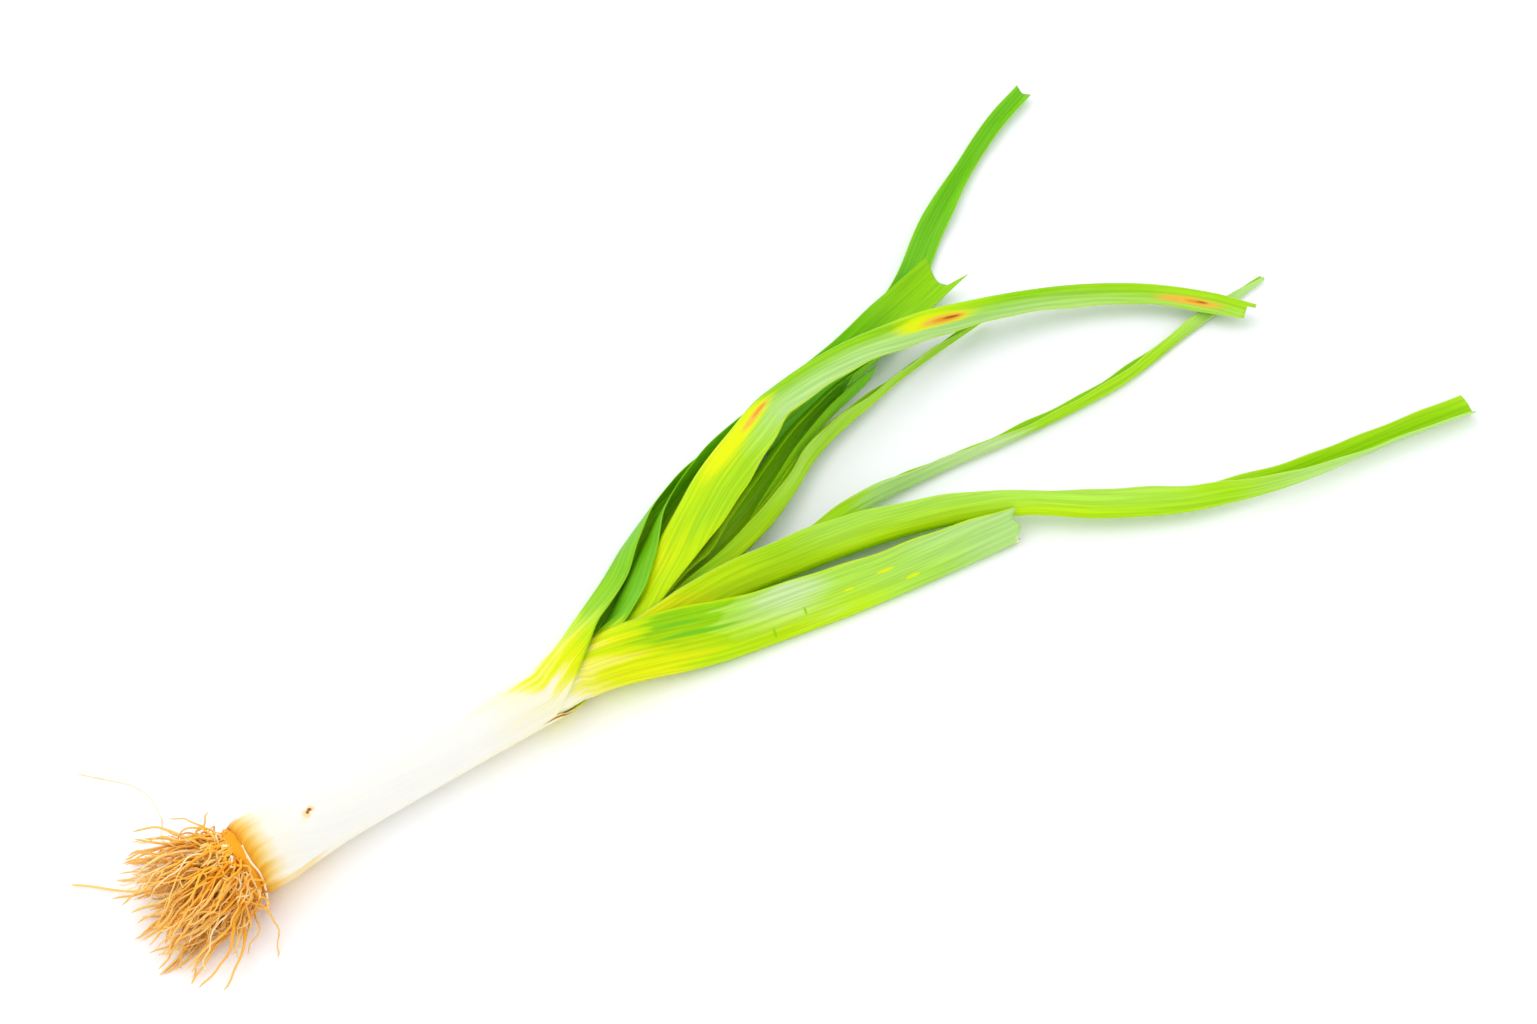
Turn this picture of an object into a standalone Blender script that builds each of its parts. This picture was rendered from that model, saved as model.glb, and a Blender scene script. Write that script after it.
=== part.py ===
"""A whole leek lying on its side, as lifted: a root tuft, and eight leaves whose sheaths nest to make the shank.

Metres, +Z up. The shank's axis runs along +X, and the origin is on the surface that the leek lies on, in the
small flat where the swollen base of the outermost sheath rests.
"""

import math
import random

import bmesh
import bpy
import numpy as np
from mathutils import Vector

MM = 0.001

# The shank: nested sheaths, each a closed tube, numbered from the outside. Millimetres from here on.
LEFT, RIGHT = 1, -1  # the two ranks of leaves: the midrib is on the shank's +Y or -Y side
COLUMNS = 5  # facets in each half of a leaf, from its midrib to its margin
WALL = 0.8  # thickness of sheaths and blades
FACET_FLAT = math.cos(math.pi / (2 * COLUMNS))  # a facet's distance from the axis, as a share of the radius
BASE_RADIUS = 18.4  # the outermost sheath's outer radius over the flat that it rests on
SHANK_PROFILE = (  # x, outer radius
    (-8.0, 17.0),
    (-4.0, BASE_RADIUS),
    (6.0, BASE_RADIUS),
    (15.0, 17.3),
    (27.0, 15.8),
    (40.0, 14.6),
    (62.0, 13.7),
    (110.0, 13.0),
    (150.0, 12.9),
    (200.0, 13.8),
    (250.0, 15.0),
)
SHEATH_PITCH = (  # x, from the middle of one sheath's wall to the middle of the next
    (-8.0, 1.9),
    (4.0, 2.05),
    (14.0, 1.95),
    (34.0, 1.65),
    (62.0, 1.47),
    (110.0, 1.39),
    (150.0, 1.38),
    (200.0, 1.52),
    (250.0, 1.7),
)
AXIS_BEND = (  # x, how far the shank's axis has bent to +Y
    (-40.0, 0.0),
    (150.0, 0.0),
    (165.0, 0.7),
    (180.0, 2.0),
    (195.0, 4.2),
    (212.0, 8.0),
    (240.0, 16.0),
)
BASE_AXIS_HEIGHT = BASE_RADIUS * FACET_FLAT
AXIS_HEIGHT = (  # x, the axis above the surface: the swollen base lifts it
    (-40.0, BASE_AXIS_HEIGHT),
    (6.0, BASE_AXIS_HEIGHT),
    (62.0, 15.9),
    (110.0, 15.4),
    (150.0, 15.5),
    (180.0, 15.8),
    (210.0, 15.2),
    (250.0, 15.0),
)
PLATE_SLOPE = 0.76  # how much further along the shank each sheath starts than the one around it

# The root plate, which closes the sheaths' ends, and the roots that grow from its back.
PLATE_GAP = 0.5  # from the plate to the sheaths' ends
PLATE_BACK = ((-14.6, 0.0), (-14.6, 6.0), (-13.4, 11.5), (-11.0, 15.6))  # x, radius
PLATE_SIDES = 20
ROOT_COUNT = 44
ROOT_POINTS = 6
ROOT_START = -12.0  # x, well inside the plate
ROOT_SPREAD = 13.0  # radius of the patch of the plate that bears roots
ROOT_LENGTH = (24.0, 54.0)
ROOT_RADIUS = (1.15, 0.55)  # where it grows and at its tip
ROOT_TURN = 4.0  # degrees that the tuft as a whole lies aside, to +Y
ROOT_FAN = 30.0  # degrees that the outermost roots turn further aside
ROOT_SEED = 11

# The blades.
ROW_STEP = 18.0  # along a blade
PLANE_TURN = 40.0  # length over which the cross-sections turn from square to the shank to square to the blade
KEEL_SHARE = 0.2  # the share of a half blade over which the keel turns
CURL_START = 0.3  # the share of a half blade where it begins to turn further
FLOOR_SOFTNESS = 1.2  # how gently a blade flattens where it meets the surface
SEAM_WELD = 2e-6  # metres


def monotone(at, known_at, known):
    """Values at the places in at of a smooth curve through the known ones, which never swings past them."""
    step = np.diff(known_at)
    slope = np.diff(known) / step
    tangent = np.zeros(len(known))
    tangent[0], tangent[-1] = slope[0], slope[-1]
    for i in range(1, len(known) - 1):
        if slope[i - 1] * slope[i] > 0:
            near = 2 * step[i] + step[i - 1]
            far = step[i] + 2 * step[i - 1]
            tangent[i] = (near + far) / (near / slope[i - 1] + far / slope[i])
    i = np.clip(np.searchsorted(known_at, at) - 1, 0, len(step) - 1)
    t = np.clip((at - known_at[i]) / step[i], 0, 1)
    return (
        known[i] * (1 + 2 * t) * (1 - t) ** 2
        + tangent[i] * step[i] * t * (1 - t) ** 2
        + known[i + 1] * t * t * (3 - 2 * t)
        - tangent[i + 1] * step[i] * t * t * (1 - t)
    )


def smoothstep(t):
    t = np.clip(t, 0, 1)
    return t * t * (3 - 2 * t)


def along_shank(x, table):
    places, values = np.array(table).T
    return monotone(np.asarray(x, float), places, values)


def sheath_radius(ring, x):
    """Radius of the middle of a sheath's wall."""
    return along_shank(x, SHANK_PROFILE) - WALL / 2 - along_shank(x, SHEATH_PITCH) * ring


def axis_slope(x):
    return (along_shank(x + 1, AXIS_BEND) - along_shank(x - 1, AXIS_BEND)) / 2


def sheath_rows(ring, rank, mouth):
    """Rows for a closed tube from the root plate to the leaf's mouth. The midrib is on the rank's side."""
    start = SHANK_PROFILE[0][0] + PLATE_SLOPE * ring
    known = sorted({x for x, _ in SHANK_PROFILE + AXIS_BEND})
    rows = []
    for x in [start] + [x for x in known if start + 1.5 < x < mouth - 4] + [mouth]:
        radius = float(sheath_radius(ring, x))
        turn = math.atan(float(axis_slope(x)))
        y = float(along_shank(x, AXIS_BEND)) + rank * radius * math.cos(turn)
        z = float(along_shank(x, AXIS_HEIGHT))
        row_x = x - rank * radius * math.sin(turn)
        rows.append((row_x, y, z, -90.0 * rank, math.pi * radius, 0.0, 180.0, 0.0))
    return rows


def neck_row(ring, x, y, z, width, slack=0.3):
    """A row where the leaf has opened and its midrib stands off: the skin runs straight from the midrib to the
    sheaths inside it, and hugs them, a little slack, for the rest of its width."""
    radius = float(sheath_radius(ring, x)) + slack
    to_axis_y = float(along_shank(x, AXIS_BEND)) - y
    to_axis_z = float(along_shank(x, AXIS_HEIGHT)) - z
    reach = max(math.hypot(to_axis_y, to_axis_z), radius * 1.01)
    roll = math.degrees(math.atan2(to_axis_y, to_axis_z))
    straight = math.sqrt(reach**2 - radius**2)
    keel = math.degrees(math.acos(radius / reach))
    curl = math.degrees(max(width - straight, 0.0) / radius)
    return (x, y, z, roll, width, keel, curl, min(straight / width, 0.9))


def halves(width):
    """The widths of the -q and the +q half: one number where they are alike."""
    return width if isinstance(width, tuple) else (width, width)


class Leaf:
    """One leaf, sheath and blade, as a surface. A place on it is s, the length along its midrib, and q, from
    -1 to 1 across it. Each row of its table gives the midrib's x, y, z, the roll in degrees (0 has the inner
    face up), the width of the -q and of the +q half along the skin, how far each half turns at the keel and
    then evenly further out, and the share of the half where that second turn starts."""

    def __init__(self, name, colour, ring, rank, mouth, neck, blade, end=None):
        self.name = name
        self.colour = colour
        rows = sheath_rows(ring, rank, mouth)
        self.mouth_row = len(rows) - 1
        rows += [neck_row(ring, *row) for row in neck]
        rows += [(*row, CURL_START) for row in blade]
        rows = [(*row[:4], *halves(row[4]), *row[5:]) for row in rows]
        self.rows = np.array(rows, float)
        steps = np.linalg.norm(np.diff(self.rows[:, :3], axis=0), axis=1)
        self.stations = np.concatenate([[0.0], np.cumsum(steps)])
        self.length = self.stations[-1]
        self.mouth_at = self.stations[self.mouth_row]
        self.end = end

    def value(self, s, column):
        return monotone(s, self.stations, self.rows[:, column])

    def width(self, s, q):
        return np.where(q < 0, self.value(s, 4), self.value(s, 5))

    def midrib(self, s):
        return np.stack([self.value(s, c) for c in range(3)], -1)

    def direction(self, s):
        """Along the shank's axis in the sheath, and along the midrib in the blade."""
        tangent = self.midrib(s + 0.5) - self.midrib(s - 0.5)
        tangent /= np.linalg.norm(tangent, axis=-1, keepdims=True)
        x = self.value(s, 0)
        slope = axis_slope(x)
        axis = np.stack([np.ones_like(slope), slope, np.zeros_like(slope)], -1)
        axis /= np.linalg.norm(axis, axis=-1, keepdims=True)
        share = smoothstep((s - self.mouth_at) / PLANE_TURN)[..., None]
        along = axis + (tangent - axis) * share
        return along / np.linalg.norm(along, axis=-1, keepdims=True)

    def point(self, s, q):
        """Points of the surface, for arrays s and q of one shape."""
        along = self.direction(s)
        up = np.array([0.0, 0.0, 1.0]) - along[..., 2:] * along
        up /= np.linalg.norm(up, axis=-1, keepdims=True)
        left = np.cross(up, along)
        roll = np.radians(self.value(s, 3))[..., None]
        inward = np.cos(roll) * up + np.sin(roll) * left
        side = np.cross(inward, along)
        keel, curl, straight = (self.value(s, c) for c in (6, 7, 8))
        across, deep = section(q, self.width(s, q), np.radians(keel), np.radians(curl), straight)
        place = self.midrib(s) + side * across[..., None] + inward * deep[..., None]
        return self.rested(place, s)

    def rested(self, place, s):
        """The blade flattened softly where it would sink into the surface below it."""
        drop = place[..., 2] - WALL / 2
        flat = WALL / 2 + (drop + np.sqrt(drop * drop + FLOOR_SOFTNESS**2)) / 2
        share = smoothstep((s - self.mouth_at) / 40.0)
        place[..., 2] += (flat - place[..., 2]) * share
        return place

    def row_stations(self):
        """The lengths along the midrib that get a row of the mesh."""
        stops = list(self.stations[: self.mouth_row + 1])
        for start, end in zip(self.stations[self.mouth_row : -1], self.stations[self.mouth_row + 1 :]):
            count = math.ceil((end - start) / ROW_STEP)
            stops += list(start + (end - start) * np.arange(1, count + 1) / count)
        return np.array(stops)

    def ended(self, s, q):
        """s drawn back towards the leaf's end, where the cut isn't square."""
        if self.end is None:
            return s
        back = np.array([self.end(x) for x in q])
        reach = 3.0 * back.max()
        share = smoothstep((s - (self.length - reach)) / reach)
        return s - share * back


def section(q, width, keel, curl, straight, steps=32):
    """Across and inward distance of the place q on the cross-section, by adding up short chords."""
    share = (np.arange(steps) + 0.5) / steps
    at = np.abs(q)[..., None] * share
    further = np.clip((at - straight[..., None]) / (1 - straight[..., None]), 0, 1)
    turn = keel[..., None] * smoothstep(at / KEEL_SHARE) + curl[..., None] * further
    chord = width * np.abs(q) / steps
    return np.sign(q) * chord * np.cos(turn).sum(-1), chord * np.sin(turn).sum(-1)


# How far each leaf's end is drawn back at q, where it was cut askew or torn, in millimetres.


def slanted_end(q):
    return 24.0 * (1 - abs(q))


def frayed_end(q):
    return 2.0 * (1 + q) + 1.5 * (1 - math.sin(11 * q))


def spiked_end(q):
    """A hollow cut that leaves a spike at one margin."""
    return float(np.interp(q, (-1, -0.7, -0.3, 0.3, 1), (0, 14, 15, 12, 8)))


def rounded_end(q):
    return 4.0 * q * q


def stepped_end(q):
    return 4.5 * float(smoothstep(4 * q))


# Neck rows: x, y, z of the midrib, half width, slack. Blade rows: x, y, z, roll, half width, keel, further turn.
LEAVES = [
    Leaf(
        "leaf_1", (0.42, 0.66, 0.10), 0, LEFT, 150.0,
        [
            (155, 13.1, 14.5, 37, 0.6),
            (161, 15.5, 14.4, 34, 1.1),
            (172, 21, 14, 29, 2.0),
            (190, 31.5, 12.5, 22, 1.6),
            (213, 45, 10, 17.5, 0.5),
        ],
        [
            (235, 59, 7, -66, 17, 60, 10),
            (262, 72.5, 4.5, -56, 15, 50, 10),
            (293, 82, 2, -46, 13.5, 46, 8),
            (320, 85, 1, -30, 12, 38, 8),
            (350, 88.5, 1, -18, 11, 28, 8),
            (405, 101, 1, -16, 10, 22, 8),
            (459, 123.5, 1, -20, 9, 24, 8),
            (508, 158, 1.5, -18, 9.5, 36, 8),
            (554, 185.5, 2, -18, 6.8, 42, 8),
            (589, 203.5, 2.5, -15, 6.6, 38, 8),
            (622, 216, 3, -12, 6.2, 34, 8),
        ],
    ),
    Leaf(
        "leaf_2", (0.38, 0.72, 0.16), 1, RIGHT, 168.0,
        [
            (173, -10.8, 14.3, 33, 0.4),
            (179, -11.6, 14, 31.5, 0.9),
            (190, -14, 12.8, 33, 1.8),
            (205, -17.5, 10, 31.5, 2.2),
            (222, -22, 7, 32, 0.8),
        ],
        [
            (240, -26, 4.8, 73, 31, 66, 14),
            (262, -29.5, 3, 70, 29, 66, 12),
            (312, -38, 1.8, 68, 27, 66, 12),
            (358, -44, 1.8, 68, 24, 66, 10),
            (408, -49.5, 2.5, 68, 19, 66, 8),
        ],
        end=frayed_end,
    ),
    Leaf(
        "leaf_3", (0.16, 0.58, 0.01), 2, LEFT, 172.0,
        [
            (177, 11.8, 14.5, 26.5, 0.2),
            (183, 12.8, 14.5, 24, 0.5),
            (190, 14.9, 14.5, 21.5, 0.9),
            (201, 20.5, 14.7, 18, 0.4),
            (214, 30, 13.8, 18.5, 1.2),
        ],
        [
            (232, 44, 11.5, -72, 18.5, 60, 12),
            (258, 61.5, 8, -54, 18, 52, 10),
            (285, 74, 7, -46, 17, 48, 10),
            (304, 80.5, 6.5, -42, 16.5, 46, 8),
            (325, 85.5, 6.5, -44, 15.5, 39, 8),
            (352, 90.5, 6.5, -40, 14.5, 34, 8),
            (400, 99, 6.5, -31, 13.5, 27, 8),
            (445, 110.5, 7, -17, 13, 22, 6),
            (495, 124, 7, -12, 12.5, 16, 4),
        ],
        end=spiked_end,
    ),
    Leaf(
        "leaf_4", (0.52, 0.80, 0.03), 3, RIGHT, 184.0,
        [
            (190, -5.2, 14.4, 23, 0.1),
            (196, -6, 14.2, 21, 0.0),
            (206, -5.8, 13.6, 20, 0.1),
            (222, -4.5, 12.6, 19.5, 0.6),
            (240, -3, 11.5, 20, 0.6),
        ],
        [
            (262, -2.5, 10.8, 78, 20, 64, 14),
            (300, -6.5, 10, 74, 20.5, 64, 12),
            (340, -13.5, 10, 76, 19, 62, 12),
            (380, -25.5, 10, 74, 16, 60, 12),
            (412, -41.4, 10.5, 70, 13, 60, 12),
            (444, -65.5, 9.5, 70, 15.5, 60, 12),
            (491, -89.5, 7, 58, 14.5, 62, 12),
            (546, -102.5, 3.5, 14, 12.5, 70, 8),
            (600, -109, 1.5, 8, 11, 58, 8),
            (656, -119, 1.5, 6, 10.5, 52, 8),
        ],
        end=rounded_end,
    ),
    Leaf(
        "leaf_5", (0.44, 0.78, 0.05), 4, LEFT, 191.0,
        [
            (197, 11.6, 14.7, 18.5, 0.2),
            (204, 14.6, 15.3, 17.5, 0.4),
            (214, 21, 16.5, 18.5, 0.6),
            (228, 31, 18, 21, 0.8),
            (243, 41, 20, 24, 0.8),
        ],
        [
            (265, 54, 23, -104, (19, 30), 60, 16),
            (285, 65, 26.5, -106, (22, 31), 60, 14),
            (312, 76, 29.5, -108, (21, 27.5), 58, 14),
            (340, 86, 31.5, -112, (19.5, 23.2), 58, 12),
            (390, 91, 33, -130, 18, 56, 10),
            (439, 88, 30, -160, 15.5, 54, 8),
            (477, 80, 26, -172, 13, 54, 8),
            (521, 66.5, 21, -176, 11.5, 54, 8),
            (561, 46, 17, -176, 11, 54, 8),
            (593, 16.5, 15, -172, 10.5, 52, 8),
            (607, -2, 13.5, -170, 8, 50, 8),
        ],
        end=stepped_end,
    ),
    Leaf(
        "leaf_6", (0.30, 0.66, 0.06), 5, RIGHT, 199.0,
        [
            (204, 0.6, 14.5, 14.5, 0.2),
            (211, 1.2, 14.5, 12.5, 0.4),
            (222, 3, 14.5, 11.5, 0.6),
            (238, 5, 14.3, 11, 0.6),
        ],
        [
            (262, 4, 14, 82, 10.5, 64, 8),
            (285, 3.5, 13, 82, 10, 66, 8),
            (312, 3.5, 11.8, 86, 9.5, 68, 8),
            (345, 8.5, 8.5, 74, 10, 68, 8),
            (375, 11.5, 4, 60, 9, 66, 8),
            (400, 10.5, 2.5, 50, 8, 64, 8),
            (441, 6.0, 2.0, 42, 6.5, 62, 8),
            (507, 3.0, 1.6, 40, 7.5, 64, 8),
            (579, 12, 1.6, 78, 6.4, 74, 8),
            (633, 18, 2.0, 50, 3, 66, 8),
        ],
    ),
    Leaf(
        "leaf_7", (0.14, 0.46, 0.02), 6, LEFT, 205.0,
        [
            (210, 12.2, 14.6, 12, 0.1),
            (217, 14.6, 14.6, 10.5, 0.3),
            (228, 19.5, 14, 10.5, 0.5),
            (242, 26, 12.5, 12, 0.8),
        ],
        [
            (262, 33, 8.5, -66, 15, 48, 60),
            (285, 40.6, 6.2, -38, 16.5, 32, 118),
            (312, 51.2, 5.4, -20, 16.5, 34, 126),
            (350, 68.2, 5.8, -12, 15.5, 36, 126),
            (385, 79, 6.3, -8, 14.5, 38, 124),
            (412, 83.4, 8.6, -4, 9.5, 40, 110),
        ],
        end=slanted_end,
    ),
    Leaf(
        "leaf_8", (0.50, 0.76, 0.04), 7, RIGHT, 211.0,
        [(216, 6.2, 14.6, 8.2, 0.1), (222, 7, 14.6, 7.4, 0.2), (234, 9, 15, 7.2, 0.3)],
        [
            (248, 11.5, 15.2, 86, 7.6, 70, 12),
            (266, 14, 15, 78, 8.6, 70, 10),
            (300, 25, 12, 58, 10.5, 78, 8),
            (325, 37.2, 10.6, 48, 10, 82, 6),
            (350, 51.6, 8.8, 46, 9, 84, 6),
            (370, 59.3, 7.8, 46, 7.6, 82, 6),
            (398, 66.4, 6.8, 46, 5.8, 78, 8),
            (423, 73, 5, 48, 4.4, 72, 8),
            (486, 82, 4, 48, 2.6, 66, 8),
        ],
    ),
]


def clear_scene():
    for item in list(bpy.data.objects):
        bpy.data.objects.remove(item, do_unlink=True)


def material(name, colour, roughness):
    made = bpy.data.materials.new(name)
    made.use_nodes = True
    shader = made.node_tree.nodes["Principled BSDF"]
    shader.inputs["Base Color"].default_value = (*colour, 1.0)
    shader.inputs["Roughness"].default_value = roughness
    shader.inputs["Metallic"].default_value = 0.0
    return made


def leaf_object(leaf, collection, finish):
    """The leaf's surface, bent from a flat grid, its sheath welded into a tube, and given its thickness."""
    rows = leaf.row_stations()
    surface = bmesh.new()
    bmesh.ops.create_grid(surface, x_segments=len(rows) - 1, y_segments=2 * COLUMNS, size=0.5)
    flat = np.array([vertex.co for vertex in surface.verts])
    along = np.rint((flat[:, 0] + 0.5) * (len(rows) - 1)).astype(int)
    q = flat[:, 1] * 2
    places = leaf.point(leaf.ended(rows[along], q), q)
    for vertex, place in zip(surface.verts, places):
        vertex.co = Vector(place) * MM
    bmesh.ops.remove_doubles(surface, verts=surface.verts, dist=SEAM_WELD)
    bmesh.ops.triangulate(surface, faces=surface.faces)
    bmesh.ops.recalc_face_normals(surface, faces=surface.faces)
    mesh = bpy.data.meshes.new(leaf.name)
    surface.to_mesh(mesh)
    surface.free()
    mesh.shade_smooth()
    mesh.materials.append(finish)
    made = bpy.data.objects.new(leaf.name, mesh)
    collection.objects.link(made)
    wall = made.modifiers.new("wall", "SOLIDIFY")
    wall.thickness = WALL * MM
    wall.offset = 0.0
    return made


def root_plate(collection, finish):
    """A turned disc, coned in front to follow the sheaths' ends."""
    start, rim = SHANK_PROFILE[0]
    outline = [*PLATE_BACK, (start - PLATE_GAP, rim - PLATE_GAP)]
    for ring in range(len(LEAVES)):
        x = start + PLATE_SLOPE * ring
        outline.append((x - PLATE_GAP, float(sheath_radius(ring, x)) - WALL / 2))
    outline.append((x - PLATE_GAP, 0.0))
    profile = bmesh.new()
    points = [profile.verts.new(Vector((x, 0.0, radius)) * MM) for x, radius in reversed(outline)]
    for first, second in zip(points, points[1:]):
        profile.edges.new((first, second))
    mesh = bpy.data.meshes.new("root_tuft")
    profile.to_mesh(mesh)
    profile.free()
    made = bpy.data.objects.new("root_tuft", mesh)
    made.location.z = BASE_AXIS_HEIGHT * MM
    collection.objects.link(made)
    mesh.materials.append(finish)
    turned = made.modifiers.new("turned", "SCREW")
    turned.axis = "X"
    turned.steps = PLATE_SIDES
    turned.render_steps = PLATE_SIDES
    turned.use_merge_vertices = True
    turned.merge_threshold = 0.00005
    return made


def root_path(draw, number):
    """Points of one root: out of the plate's back, aside, and down onto the surface, a little wavy."""
    around = number * math.pi * (3 - math.sqrt(5))
    from_centre = ROOT_SPREAD * math.sqrt((number + 0.5) / ROOT_COUNT)
    start_y = from_centre * math.cos(around)
    start_z = BASE_AXIS_HEIGHT + from_centre * math.sin(around)
    length = draw.uniform(*ROOT_LENGTH)
    aside = math.radians(ROOT_TURN + ROOT_FAN * start_y / ROOT_SPREAD + draw.uniform(-16, 16))
    end_z = ROOT_RADIUS[0] + 0.3 + draw.random() ** 2 * start_z * 0.8
    wave, phase = draw.uniform(0.8, 2.6), draw.uniform(0, 2 * math.pi)
    points = []
    for step in range(ROOT_POINTS):
        t = step / (ROOT_POINTS - 1)
        swing = wave * t * math.sin(phase + 7.5 * t)
        x = ROOT_START - length * t * math.cos(aside) - swing * math.sin(aside)
        y = start_y + length * t * math.sin(aside) + swing * math.cos(aside)
        z = start_z + (end_z - start_z) * float(smoothstep(t * 1.1)) + 0.6 * wave * t * math.cos(phase + 6 * t)
        points.append((x, y, max(z, ROOT_RADIUS[0] + 0.1)))
    return points


def root_mesh(points, number, collection):
    """One root as a closed mesh: a tapered tube along its points."""
    curve = bpy.data.curves.new("root", "CURVE")
    curve.dimensions = "3D"
    curve.bevel_depth = MM
    curve.bevel_resolution = 0
    curve.use_fill_caps = True
    spline = curve.splines.new("POLY")
    spline.points.add(len(points) - 1)
    thick, thin = ROOT_RADIUS
    for step, (point, place) in enumerate(zip(spline.points, points)):
        point.co = (*(Vector(place) * MM), 1.0)
        point.radius = thick + (thin - thick) * step / (len(points) - 1)
    tube = bpy.data.objects.new("root_tube", curve)
    collection.objects.link(tube)
    evaluated = tube.evaluated_get(bpy.context.evaluated_depsgraph_get())
    mesh = bpy.data.meshes.new_from_object(evaluated)
    bpy.data.objects.remove(tube, do_unlink=True)
    welded = bmesh.new()
    welded.from_mesh(mesh)
    bmesh.ops.remove_doubles(welded, verts=welded.verts, dist=SEAM_WELD)
    welded.to_mesh(mesh)
    welded.free()
    collection.objects.link(bpy.data.objects.new(f"root_{number}", mesh))


def root_tuft(collection, finish):
    """The plate with every root fused to it."""
    made = root_plate(collection, finish)
    roots = bpy.data.collections.new("roots")
    bpy.context.scene.collection.children.link(roots)
    draw = random.Random(ROOT_SEED)
    for number in range(ROOT_COUNT):
        root_mesh(root_path(draw, number), number, roots)
    joined = made.modifiers.new("joined", "BOOLEAN")
    joined.operation = "UNION"
    joined.operand_type = "COLLECTION"
    joined.collection = roots
    joined.solver = "MANIFOLD"
    evaluated = made.evaluated_get(bpy.context.evaluated_depsgraph_get())
    fused = bpy.data.meshes.new_from_object(evaluated)
    made.modifiers.clear()
    made.data = fused
    made.data.name = made.name
    fused.materials.clear()
    fused.materials.append(finish)
    fused.shade_smooth()
    for root in list(roots.objects):
        bpy.data.objects.remove(root, do_unlink=True)
    bpy.data.collections.remove(roots)


def main():
    clear_scene()
    leek = bpy.data.collections.new("leek")
    bpy.context.scene.collection.children.link(leek)
    for leaf in LEAVES:
        leaf_object(leaf, leek, material(leaf.name + "_green", leaf.colour, 0.45))
    root_tuft(leek, material("root_ochre", (0.74, 0.42, 0.10), 0.75))


main()
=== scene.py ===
# %% [markdown]
# A whole leek, from its root tuft to the ends of its leaves, lying on a white table.
# A leek has hardly any stem. Its white shank is a bundle of leaf bases, each one a closed tube inside the one
# before, and its leaves come off in two ranks, left and right, folded along a keel like the hull of a boat.
# So the scene is built leaf by leaf, with one surface formula that runs from the tube to the open blade.

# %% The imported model, which every piece here stands in for
import math
import random

import bmesh
import bpy
import numpy as np
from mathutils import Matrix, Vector, noise


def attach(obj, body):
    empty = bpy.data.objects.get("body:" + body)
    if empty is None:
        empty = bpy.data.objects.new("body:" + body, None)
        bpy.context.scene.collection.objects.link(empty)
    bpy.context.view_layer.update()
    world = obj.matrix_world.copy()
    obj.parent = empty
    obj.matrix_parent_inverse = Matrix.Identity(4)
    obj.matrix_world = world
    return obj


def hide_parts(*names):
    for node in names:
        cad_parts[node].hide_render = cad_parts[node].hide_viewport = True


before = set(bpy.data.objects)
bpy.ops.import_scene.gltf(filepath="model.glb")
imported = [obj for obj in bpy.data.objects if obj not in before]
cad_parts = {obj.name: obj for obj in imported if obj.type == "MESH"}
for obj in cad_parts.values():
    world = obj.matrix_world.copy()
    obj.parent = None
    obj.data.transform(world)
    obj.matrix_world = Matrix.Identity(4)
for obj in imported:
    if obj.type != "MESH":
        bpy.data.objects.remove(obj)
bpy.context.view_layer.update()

# %% [markdown]
# Lengths below are in millimetres, because leaves and roots are easier to picture in them. Blender works in
# metres, so every place is multiplied by MM when it goes into a mesh.
# Colours are written as sRGB hex values, the way a colour picker shows them. Shaders need linear light, so
# one function turns them.

# %% Units and colours
MM = 0.001


def linear(hex_colour):
    """An sRGB hex colour as linear RGBA."""
    parts = [int(hex_colour[i : i + 2], 16) / 255 for i in (1, 3, 5)]
    light = [p / 12.92 if p <= 0.04045 else ((p + 0.055) / 1.055) ** 2.4 for p in parts]
    return (*light, 1.0)


COLOURS = {
    "white": "#FBF8E8",
    "cream": "#FDF6CC",
    "ivory": "#FEF6DE",
    "honey": "#FCDDA2",
    "butter": "#F7F160",
    "yellow": "#E2EC02",
    "lime": "#BCE402",
    "fresh": "#A6D918",
    "green": "#90CC06",
    "leaf": "#76C21C",
    # deep is a darker green; where leaf_3's outer face takes it near the neck, it is painted shade.
    "deep": "#6CB406",
    "mint": "#ACDE4C",
    "bloom": "#B2DC80",
    "pale": "#C6E49C",
    "straw": "#F0B944",
    "orange": "#EC9A24",
    "brown": "#A4581C",
}
print("Palette:", ", ".join(COLOURS))

# %% [markdown]
# The camera stands where the photograph was taken from: looking down at 50 degrees, from the root end and a
# little to the right. A 60 mm lens on a 36 mm wide frame gives the mild narrowing of the shank with distance.

# %% The camera
HEADING = math.radians(35.5)  # from +Y round towards +X
ELEVATION = math.radians(50.0)
AIM = Vector((313.0, 42.0, 0.0))
DISTANCE = 1314.6
LENS = 60.0
FRAME_WIDTH = 36.0

look = Vector((math.sin(HEADING), math.cos(HEADING), -math.tan(ELEVATION))).normalized()
camera_data = bpy.data.cameras.new("camera")
camera_data.lens = LENS
camera_data.sensor_width = FRAME_WIDTH
camera_data.clip_end = 20.0
camera = bpy.data.objects.new("camera", camera_data)
camera.location = (AIM - look * DISTANCE) * MM
camera.rotation_euler = look.to_track_quat("-Z", "Y").to_euler()
bpy.context.scene.collection.objects.link(camera)
bpy.context.scene.camera = camera
print("Camera at", [round(value, 3) for value in camera.location])

# %% [markdown]
# The light is that of a white studio tent: it comes from everywhere, with a broad soft source up to the left.
# That leaves almost no shadow, and whites that are nearly clipped, so the view transform is Standard, which
# keeps bright greens as bright as they are given. The world gives most of the light, so that the spaces
# between the leaves stay bright too.

# %% The floor, the light and the view
FLOOR_HALF = 3000.0
WORLD_STRENGTH = 1.12
KEY_SIZE = 1800.0
KEY_PLACE = Vector((-700.0, 900.0, 1900.0))
KEY_TARGET = Vector((250.0, 40.0, 0.0))
KEY_POWER = 9.0
PAPER_ROUGHNESS = 0.9
PAPER_GLOSS = 0.1


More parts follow.
